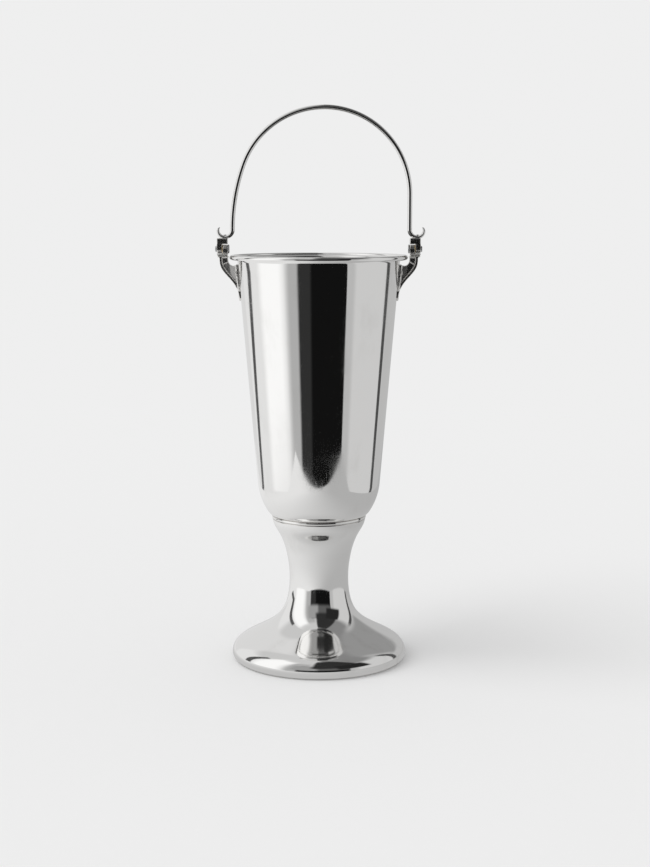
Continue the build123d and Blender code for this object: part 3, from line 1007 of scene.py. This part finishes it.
# ---------------------------------------------------------------- the hinges
@dataclass
class Hinge:
    """One cast bracket with its rivets, pin and shim. Millimetres, for the right side and mirrored."""

    finishes: Finishes
    side: Side
    bucket: Bucket
    hinge: float = 469.7
    block_in: float = 101.7
    block_out: float = 114.1
    lap: float = 107.6
    shim: float = 0.6
    barrel: float = 4.6
    pin: float = 2.5
    pin_edge: float = 0.7
    peen: float = 3.4
    peen_height: float = 1.7
    peen_edge: float = 1.2
    bore_spare: float = 5.0
    ledge_gap: float = 0.3
    ledge_half: float = 8.0
    ledge_thick: float = 1.3
    collar: float = 460.3
    arm_half: float = 4.6
    web_half: float = 2.2
    web_flare: float = 0.28
    flare_from: float = 104.5
    pad_margin: float = 0.4
    flange_half: float = 6.0
    flange_thick: float = 2.8
    pad_low: float = 411.5
    pad_high: float = 452.5
    pad_half: float = 9.5
    pad_wall: float = 2.2
    back: tuple[Point, ...] = (
        (111.2, 460.3),
        (109.9, 450.5),
        (104.2, 441.8),
        (96.2, 432.6),
        (91.0, 423.4),
        (88.9, 414.5),
    )
    notch: tuple[Point, ...] = ((91.8, 452.6), (93.2, 451.6), (97.6, 451.2), (100.9, 454.4), (101.9, 460.3))
    rivet_y: float = 6.0
    rivet_z: float = 443.0
    rivet_head: float = 3.6
    rivet_height: float = 1.6
    rivet_shank: float = 2.0

    def sided(self, shape: Shape) -> Shape:
        """The shape on this hinge's side, with its faces outwards.

        Args:
            shape: made for the right side.

        Returns:
            The shape in its place.
        """
        if self.side is Side.LEFT:
            shape.mirrored()
        return shape.outward()

    def pad_width(self, height: float) -> float:
        """Half the pad's width.

        Args:
            height: where.

        Returns:
            Half its width there.
        """
        rise = (height - self.pad_low) / (0.72 * (self.pad_high - self.pad_low))
        return self.pad_half * math.sin(min(1.0, max(0.0, rise)) * math.pi / 2) ** 0.75

    def pad(self, shape: Shape) -> None:
        """Adds the shield-shaped pad that lies on the wall.

        Args:
            shape: what it is added to.
        """
        radius = self.bucket.wall_radius
        middle = (self.pad_low + self.pad_high) / 2
        half = (self.pad_high - self.pad_low) / 2
        plate = Shape()
        matrix = Matrix.Rotation(math.pi / 2, 4, "Y") @ Matrix.Diagonal((half, self.pad_half, 1, 1))
        bmesh.ops.create_grid(plate.bm, x_segments=28, y_segments=14, size=1.0, matrix=matrix)
        bmesh.ops.translate(plate.bm, vec=(0, 0, middle), verts=plate.bm.verts[:])
        for vert in plate.bm.verts:
            vert.co.y *= self.pad_width(vert.co.z) / self.pad_half
            reach = radius(vert.co.z) + 0.05
            vert.co.x = math.sqrt(reach**2 - vert.co.y**2)
        bmesh.ops.remove_doubles(plate.bm, verts=plate.bm.verts[:], dist=1e-4)
        grown = bmesh.ops.extrude_face_region(plate.bm, geom=plate.bm.faces[:])["geom"]
        verts = [item for item in grown if isinstance(item, bmesh.types.BMVert)]
        bmesh.ops.translate(plate.bm, verts=verts, vec=(self.pad_wall, 0, 0))
        shape.bm.from_mesh(plate.outward().mesh("pad"))

    def bracket_shape(self) -> Shape:
        """The bracket's closed shells, before they are melted into one casting."""
        shape = Shape()
        self.pad(shape)
        back = smooth_through(self.back, 1.5)
        notch = smooth_through(self.notch, 1.2)
        tail = (self.bucket.wall_radius(self.back[-1][1]) + 0.5, self.back[-1][1])
        web = Shape().slab([*back, tail, *notch], self.web_half)
        for vert in web.bm.verts:
            flare = self.web_flare * max(0.0, self.flare_from - vert.co.x)
            room = max(0.0, self.pad_width(vert.co.z) - self.web_half - self.pad_margin)
            vert.co.y += math.copysign(min(flare, room), vert.co.y)
        shape.bm.from_mesh(web.mesh("web"))
        lining = moved_in(back, self.flange_thick)
        lining[0] = (lining[0][0], self.collar)
        shape.slab([*back, *reversed(lining)], self.flange_half)
        shape.slab([notch[-1], back[0], (109.9, 451.4), (101.4, 455.4)], self.arm_half)
        ledge = self.hinge - self.barrel - self.ledge_gap
        arm, edge = self.arm_half, 0.4
        shape.block((101.1, -arm - 1.6, self.collar), (112.6, arm + 1.6, self.collar + 1.3), edge)
        throat_top = ledge - self.ledge_thick
        shape.block((102.2, -arm, self.collar + 0.3), (113.6, arm, throat_top + 0.3), edge)
        shape.block(
            (self.block_in, -self.ledge_half, throat_top), (self.block_out, self.ledge_half, ledge), edge
        )
        self.barrel_shells(shape, self.block_in, self.lap, ledge - 0.6)
        return shape

    def barrel_shells(self, shape: Shape, near: float, far: float, root: float) -> None:
        """Adds a hinge barrel along X and the web that ties it to a block.

        Args:
            shape: what it is added to.
            near: the barrel's first face.
            far: its second face.
            root: height where its web ends.
        """
        edge, radius = 0.35, self.barrel
        outline = [(0, near), (radius - edge, near), (radius, near + edge)]
        outline += [(radius, far - edge), (radius - edge, far), (0, far)]
        shape.spin(outline, (0, 0, self.hinge), (1, 0, 0), 64, closed=False)
        low, high = min(root, self.hinge), max(root, self.hinge)
        shape.block((near, -radius, low), (far, radius, high), edge)

    def bore(self, radius: float) -> Shape:
        """A long round cutter on the hinge's axis.

        Args:
            radius: its radius.

        Returns:
            The cutter.
        """
        near, far = self.block_in - self.bore_spare, self.block_out + self.bore_spare
        outline = [(0, near), (radius, near), (radius, far), (0, far)]
        return Shape().spin(outline, (0, 0, self.hinge), (1, 0, 0), 48, closed=False)

    def build_bracket(self) -> bpy.types.Object:
        """The cast bracket."""
        casting = fused(self.bracket_shape(), 0.35, 14, [self.bore(self.pin)])
        name = f"bracket_{self.side.word}"
        shape = self.sided(casting)
        return piece(f"cast_{name}", shape, self.finishes.cast, Body.STAND, Slot.CAST, [name])

    def build_rivets(self) -> bpy.types.Object:
        """Two domed rivets through pad and wall."""
        node = f"bracket_rivets_{self.side.word}"
        low, high = box_mm(node)
        near, far = sorted((abs(low.x), abs(high.x)))
        head, height, shank = self.rivet_head, self.rivet_height, self.rivet_shank
        dome = (head**2 + height**2) / (2 * height)
        span = math.degrees(math.asin(head / dome))
        outer = arc((0, far - dome), dome, 90, 90 - span, 10)
        inner = arc((0, near + dome), dome, -90 + span, -90, 10)
        outline = [*outer, (shank, far - height), (shank, near + height), *inner]
        shape = Shape()
        for y in (-self.rivet_y, self.rivet_y):
            shape.spin(outline, (0, y, self.rivet_z), (1, 0, 0), 40, closed=False)
        shape = self.sided(shape)
        return piece(f"domed_{node}", shape, self.finishes.forged, Body.STAND, Slot.POLISHED, [node])

    def build_pin(self) -> bpy.types.Object:
        """The hinge pin with its head inside and its peened end outside."""
        node = f"hinge_pin_{self.side.word}"
        low, high = box_mm(node)
        near, far = sorted((abs(low.x), abs(high.x)))
        radius, edge, soft = (high.z - low.z) / 2, self.pin_edge, self.peen_edge
        outline = [(0, near), *arc((radius - edge, near + edge), edge, -90, 0, 6), (radius, self.block_in)]
        outline += [(self.pin, self.block_in), (self.pin, far - self.peen_height)]
        outline += [(self.peen, far - self.peen_height)]
        outline += [*arc((self.peen - soft, far - soft), soft, 0, 90, 6), (0, far)]
        shape = self.sided(Shape().spin(outline, (0, 0, self.hinge), (1, 0, 0), 64, closed=False))
        return piece(f"turned_{node}", shape, self.finishes.steel, Body.STAND, Slot.STEEL, [node])

    def build_shim(self) -> bpy.types.Object:
        """The thin washer between the barrels."""
        node = f"hinge_shim_{self.side.word}"
        low, high = box_mm(node)
        near, far = sorted((abs(low.x), abs(high.x)))
        radius, edge = (high.z - low.z) / 2, 0.12
        outline = [(self.pin, near), (radius - edge, near), (radius, near + edge)]
        outline += [(radius, far - edge), (radius - edge, far), (self.pin, far)]
        shape = self.sided(Shape().spin(outline, (0, 0, self.hinge), (1, 0, 0), 64))
        return piece(f"thin_{node}", shape, self.finishes.brass, Body.STAND, Slot.BRASS, [node])

    def build(self) -> None:
        """Builds every piece of the hinge that stays with the stand."""
        self.build_bracket()
        self.build_rivets()
        self.build_pin()
        self.build_shim()


# ---------------------------------------------------------------- the bail
@dataclass
class Bail:
    """The forged bail with its two hooks, and the knuckles under them. Millimetres."""

    finishes: Finishes
    hinge: Hinge
    thick: float = 5.4
    wide: float = 7.6
    crown: Point = (6.0, 530.0)
    crown_radius: float = 95.6
    left_break: float = 160.0
    hook_z: float = 490.6
    hook_inner: float = 5.9
    rings: tuple[tuple[float, float, float], ...] = (
        (0, 5.4, 7.6),
        (25, 5.0, 7.6),
        (50, 4.5, 7.8),
        (75, 4.1, 8.0),
        (100, 4.0, 8.0),
        (125, 3.9, 7.6),
        (150, 3.7, 6.8),
        (175, 3.2, 5.6),
        (195, 2.3, 4.0),
        (209, 1.0, 2.0),
    )
    knuckle_low: float = 474.9
    knuckle_high: float = 482.2
    knuckle_half: float = 4.6
    knuckle_edge: float = 0.9
    saddle: Point = (3.2, 3.4)
    rivet_shank: float = 1.8
    rivet_dome: float = 1.5
    face_gap: float = 0.1

    def legs(self) -> dict[Side, float]:
        """X of each straight leg where its hook starts."""
        turn = math.radians(self.left_break)
        end = (
            self.crown[0] + self.crown_radius * math.cos(turn),
            self.crown[1] + self.crown_radius * math.sin(turn),
        )
        sweep = math.pi - turn
        radius = (end[1] - self.hook_z) / math.sin(sweep)
        left = end[0] - radius * (1 - math.cos(sweep))
        return {Side.LEFT: left, Side.RIGHT: self.crown[0] + self.crown_radius}

    def hook_centre(self, side: Side) -> float:
        """X of the hook's centre.

        Args:
            side: which hook.

        Returns:
            Its X.
        """
        return self.legs()[side] + side.value * (self.thick / 2 + self.hook_inner)

    @staticmethod
    def station(x: float, z: float, out: Point, thick: float, wide: float) -> Matrix:
        """A section's matrix.

        Args:
            x: its centre's X.
            z: its centre's height.
            out: unit direction of its thickness in the XZ plane.
            thick: size along that direction.
            wide: size along Y.

        Returns:
            What takes the unit circle to the section.
        """
        matrix = Matrix.Identity(4)
        matrix.col[0] = (out[0] * thick / 2, 0, out[1] * thick / 2, 0)
        matrix.col[1] = (0, wide / 2, 0, 0)
        matrix.col[2] = (-out[1], 0, out[0], 0)
        matrix.col[3] = (x, 0, z, 1)
        return matrix

    def hook_stations(self, side: Side) -> list[Matrix]:
        """Sections of one hook from the leg to its tip.

        Args:
            side: which hook.

        Returns:
            The sections.
        """
        turns, thicks, wides = (np.array(column, float) for column in zip(*self.rings))
        centre, stations = self.hook_centre(side), []
        for turn in [*np.arange(5.0, 209.0, 5.0), 209.0, 211.0, 212.0]:
            thick = float(np.interp(turn, turns, thicks))
            wide = float(np.interp(turn, turns, wides))
            if turn > 209.0:
                thick, wide = thick * (213.0 - turn) / 4, wide * (213.0 - turn) / 4
            angle = math.radians(min(turn, 210.0))
            out = (-side.value * math.cos(angle), -math.sin(angle))
            reach = self.hook_inner + float(np.interp(turn, turns, thicks)) / 2
            x, z = centre + out[0] * reach, self.hook_z + out[1] * reach
            stations.append(self.station(x, z, out, thick, wide))
        return stations

    def build_bar(self) -> bpy.types.Object:
        """The bail's bar with both hooks."""
        legs = self.legs()
        stations = list(reversed(self.hook_stations(Side.RIGHT)))
        for z in np.linspace(self.hook_z, self.crown[1], 12)[:-1]:
            stations.append(self.station(legs[Side.RIGHT], float(z), (1, 0), self.thick, self.wide))
        for turn in np.linspace(0, self.left_break, 108):
            out = (math.cos(math.radians(turn)), math.sin(math.radians(turn)))
            x, z = self.crown[0] + out[0] * self.crown_radius, self.crown[1] + out[1] * self.crown_radius
            stations.append(self.station(x, z, out, self.thick, self.wide))
        sweep = 180 - self.left_break
        end_z = self.crown[1] + self.crown_radius * math.sin(math.radians(self.left_break))
        radius = (end_z - self.hook_z) / math.sin(math.radians(sweep))
        for turn in np.linspace(self.left_break, 180, 24)[1:]:
            out = (math.cos(math.radians(turn)), math.sin(math.radians(turn)))
            x, z = legs[Side.LEFT] + radius * (1 + out[0]), self.hook_z + radius * out[1]
            stations.append(self.station(x, z, out, self.thick, self.wide))
        for matrix in self.hook_stations(Side.LEFT):
            stations.append(matrix)
        shape = Shape().bar(stations, 32, 0.8).outward()
        return piece("forged_bail", shape, self.finishes.forged, Body.BAIL, Slot.POLISHED, ["bail_bar"])

    def build_knuckle(self, side: Side) -> bpy.types.Object:
        """The block under a hook, with its half of the hinge.

        Args:
            side: which one.

        Returns:
            The knuckle.
        """
        hinge = self.hinge
        near, far = hinge.block_in + self.face_gap, hinge.block_out
        half, low, high = self.knuckle_half, self.knuckle_low, self.knuckle_high
        shape = Shape().block((near, -half, low), (far, half, high - 0.4), self.knuckle_edge)
        middle, (across, along) = abs(self.hook_centre(side)), self.saddle
        shape.block((middle - across, -along, high - 2), (middle + across, along, high + 0.4), 0.6)
        lap = hinge.lap + hinge.shim + self.face_gap
        hinge.barrel_shells(shape, lap, far, self.knuckle_low + 0.6)
        casting = fused(shape, 0.25, 7, [hinge.bore(hinge.pin + 0.05)])
        if side is Side.LEFT:
            casting.mirrored()
        node = f"bail_knuckle_{side.word}"
        return piece(f"cast_{node}", casting.outward(), self.finishes.cast, Body.BAIL, Slot.CAST, [node])

    def build_rivet(self, side: Side) -> bpy.types.Object:
        """The rivet that holds a knuckle under its hook.

        Args:
            side: which one.

        Returns:
            The rivet.
        """
        node = f"bail_rivet_{side.word}"
        low, high = box_mm(node)
        middle, head = (low.x + high.x) / 2, (high.x - low.x) / 2
        shank, dome = self.rivet_shank, high.z - self.rivet_dome
        outline = [(0, low.z), (shank, low.z), (shank, dome - 0.1), (head, dome)]
        outline += [(x * head, dome + z * self.rivet_dome) for x, z in arc((0, 0), 1.0, 0, 90, 8)[1:]]
        shape = Shape().spin(outline, (middle, 0, 0), (0, 0, 1), 40, closed=False).outward()
        return piece(f"domed_{node}", shape, self.finishes.forged, Body.BAIL, Slot.POLISHED, [node])

    def build(self) -> None:
        """Builds every piece of the bail."""
        self.build_bar()
        for side in Side:
            self.build_knuckle(side)
            self.build_rivet(side)


# ---------------------------------------------------------------- studio
@dataclass(frozen=True)
class SoftCard:
    """A patch of the studio as the metal sees it.

    Azimuth runs clockwise from the camera, seen from above, and elevation up from level, in degrees.
    """

    azimuth: Point
    elevation: Point
    light: float
    soft_azimuth: float = 1.5
    soft_elevation: float = 3.0
    lean: float = 0.0


@dataclass
class Studio:
    """Floor, lights, surroundings and camera."""

    room: float = 0.80
    backdrop: float = 0.862
    fill: float = 0.69
    cards: tuple[SoftCard, ...] = (
        SoftCard((-180, 180), (48, 90), 0.60, 1, 14),
        SoftCard((30, 180), (42, 90), 0.24, 30, 12),
        SoftCard((-180, -160), (42, 90), 0.28, 20, 12),
        SoftCard((-180, -143), (-90, 60), 0.72, 6, 14),
        SoftCard((128, 180), (-90, 50), 0.50, 20, 14),
        SoftCard((135, 180), (24, 60), 0.30, 14, 8),
        SoftCard((-131, -20), (-60, 58), 0.80, 2, 16, lean=1.9),
        SoftCard((-42, -20), (-60, 58), 0.44, 12, 16),
        SoftCard((-88, -62), (-14, 60), 1.02, 14, 8),
        SoftCard((-140, -132), (-50, 50), 0.09, 2.5, lean=1.9),
        SoftCard((40, 116), (-40, 42), 0.62, 1.5, 14),
        SoftCard((40, 50), (-40, 42), 0.50, 8, 14),
        SoftCard((115, 121.5), (-40, 40), 0.07, 2, 10),
        SoftCard((-28, 41), (-60, 36), 0.006, 1.0, 18),
        SoftCard((-28, -14), (-60, 36), 0.03, 5, 18),
        SoftCard((-28, 41), (18, 40), 0.11, 4, 8),
        SoftCard((-34, -8), (18, 44), 0.34, 10, 8),
        SoftCard((-6, 62), (36, 78), 0.03, 10, 10),
        SoftCard((30, 70), (22, 46), 0.02, 8, 6),
    )
    floor_half: float = 0.55
    floor_front: float = -0.64
    floor_back: float = 1.40
    far: float = 12.0
    # Painted shade on the floor as reflections show it: shade_light on the left, shade_dark on the right and
    # round the foot.
    shade_across: Point = (-0.42, 0.30)
    shade_light: float = 0.82
    shade_dark: float = 0.45
    eye: tuple[float, float, float] = (0.007, -1.727, 0.5115)
    dip: float = 8.26
    lens: float = 63.57

    def surroundings(self) -> None:
        """The world: plain for the eye, a studio of cards for the polished metal."""
        world = bpy.data.worlds.new("studio")
        world.use_nodes = True
        world.cycles.sampling_method = "NONE"
        bpy.context.scene.world = world
        graph = Graph(world.node_tree)
        where = graph.node("ShaderNodeTexCoord").outputs["Generated"]
        parts = graph.node("ShaderNodeSeparateXYZ", Vector=where).outputs
        x, y, z = (Value(graph, parts[name]) for name in "XYZ")
        azimuth = graph.math("ARCTAN2", x, y * -1.0) * math.degrees(1)
        elevation = z.math("ARCSINE") * math.degrees(1)
        low_part = elevation.math("MINIMUM", 0.0).math("MAXIMUM", -30.0) + 16.0
        light: Any = self.room
        for card in self.cards:
            turned = azimuth - low_part * card.lean if card.lean else azimuth
            mask = turned.between(*card.azimuth, card.soft_azimuth)
            mask = mask * elevation.between(*card.elevation, card.soft_elevation)
            light = light * (1.0 - mask) + mask * card.light
        path = graph.node("ShaderNodeLightPath").outputs
        glossy = Value(graph, path["Is Glossy Ray"])
        seen = Value(graph, path["Is Camera Ray"])
        plain = self.backdrop * seen + self.fill * (1.0 - seen)
        strength = plain * (1.0 - glossy) + glossy * light
        sky = graph.node("ShaderNodeBackground", None, Color=(1, 1, 1, 1), Strength=strength)
        graph.node("ShaderNodeOutputWorld", None, Surface=sky.outputs[0])

    def floor_material(self) -> bpy.types.Material:
        """Matt white near the object and the background's own white far from it, for the eye; in reflections,
        a glowing floor with painted shade, darker to the right and with a painted shadow round the foot.
        """
        made, graph = new_material("studio_floor")
        radius, _ = graph.radius_height()
        grain = graph.noise(6.0, 3.0) * 0.01
        white = graph.blend(grain, (0.9, 0.9, 0.9, 1), (0.8, 0.8, 0.8, 1))
        matt = graph.node("ShaderNodeBsdfDiffuse", None, Color=white)
        glow = graph.node("ShaderNodeEmission", None, Color=(1, 1, 1, 1), Strength=self.backdrop)
        far = radius.smooth(0.5, 2.2)
        both = graph.node("ShaderNodeMixShader", None, i0=far, i1=matt.outputs[0], i2=glow.outputs[0])
        # Painted reflection: for glossy rays the floor glows instead of being lit, with painted shade darker
        # to the right and a painted shadow round the foot.
        parts = graph.node("ShaderNodeSeparateXYZ", Vector=graph.place()).outputs
        across = Value(graph, parts["X"]).smooth(*self.shade_across)
        near = 1.0 - radius.smooth(0.095, 0.16)
        shade = across + (1.0 - across) * near * 0.5
        seen = graph.blend(shade, (*[self.shade_light] * 3, 1.0), (*[self.shade_dark] * 3, 1.0))
        mirrored = graph.node("ShaderNodeEmission", None, Color=seen, Strength=1.0)
        glossy = graph.node("ShaderNodeLightPath").outputs["Is Glossy Ray"]
        whole = graph.node("ShaderNodeMixShader", None, i0=glossy, i1=both.outputs[0], i2=mirrored.outputs[0])
        graph.node("ShaderNodeOutputMaterial", None, Surface=whole.outputs[0])
        return made

    def floor(self) -> None:
        """A floor of one table, which the metal sees, and the ground round it, which it does not."""
        material = self.floor_material()
        half, front, back, far = self.floor_half, self.floor_front, self.floor_back, self.far
        tiles = {
            "table": (-half, half, front, back),
            "ground_left": (-far, -half, -far, far),
            "ground_right": (half, far, -far, far),
            "ground_front": (-half, half, -far, front),
            "ground_back": (-half, half, back, far),
        }
        for name, (x0, x1, y0, y1) in tiles.items():
            shape = Shape()
            size = Matrix.Diagonal(((x1 - x0) / 2, (y1 - y0) / 2, 1, 1))
            matrix = Matrix.Translation(((x0 + x1) / 2, (y0 + y1) / 2, 0)) @ size
            bmesh.ops.create_grid(shape.bm, x_segments=1, y_segments=1, size=1.0, matrix=matrix)
            made = bpy.data.objects.new(name, shape.mesh(name))
            made.data.materials.append(material)
            made.visible_glossy = name == "table"
            bpy.context.scene.collection.objects.link(made)

    def lamp(self) -> None:
        """One wide soft lamp up on the left, for the shadow on the floor."""
        data = bpy.data.lights.new("soft_lamp", "SUN")
        data.energy = 1.12
        data.angle = math.radians(50)
        made = bpy.data.objects.new("soft_lamp", data)
        made.rotation_euler = Vector((1.0, 0.35, -1.15)).to_track_quat("-Z", "Y").to_euler()
        made.visible_glossy = False
        bpy.context.scene.collection.objects.link(made)

    def camera(self) -> None:
        """The camera, a little above the rim and looking slightly down."""
        data = bpy.data.cameras.new("camera")
        data.lens = self.lens
        made = bpy.data.objects.new("camera", data)
        made.location = self.eye
        made.rotation_euler = (math.radians(90 - self.dip), 0, 0)
        bpy.context.scene.collection.objects.link(made)
        bpy.context.scene.camera = made

    def build(self) -> None:
        """Sets up the whole studio."""
        bpy.context.scene.view_settings.view_transform = "Standard"
        self.surroundings()
        self.floor()
        self.lamp()
        self.camera()


def main() -> None:
    """Builds every piece, then the studio."""
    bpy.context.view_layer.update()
    finishes = Finishes()
    bucket = Bucket(finishes)
    bucket.build()
    Pedestal(finishes).build()
    hinges = [Hinge(finishes, side, bucket) for side in Side]
    for hinge in hinges:
        hinge.build()
    Bail(finishes, hinges[-1]).build()
    Studio().build()


if __name__ == "__main__":
    logging.basicConfig(level=logging.INFO, format="%(name)s %(message)s")
    main()
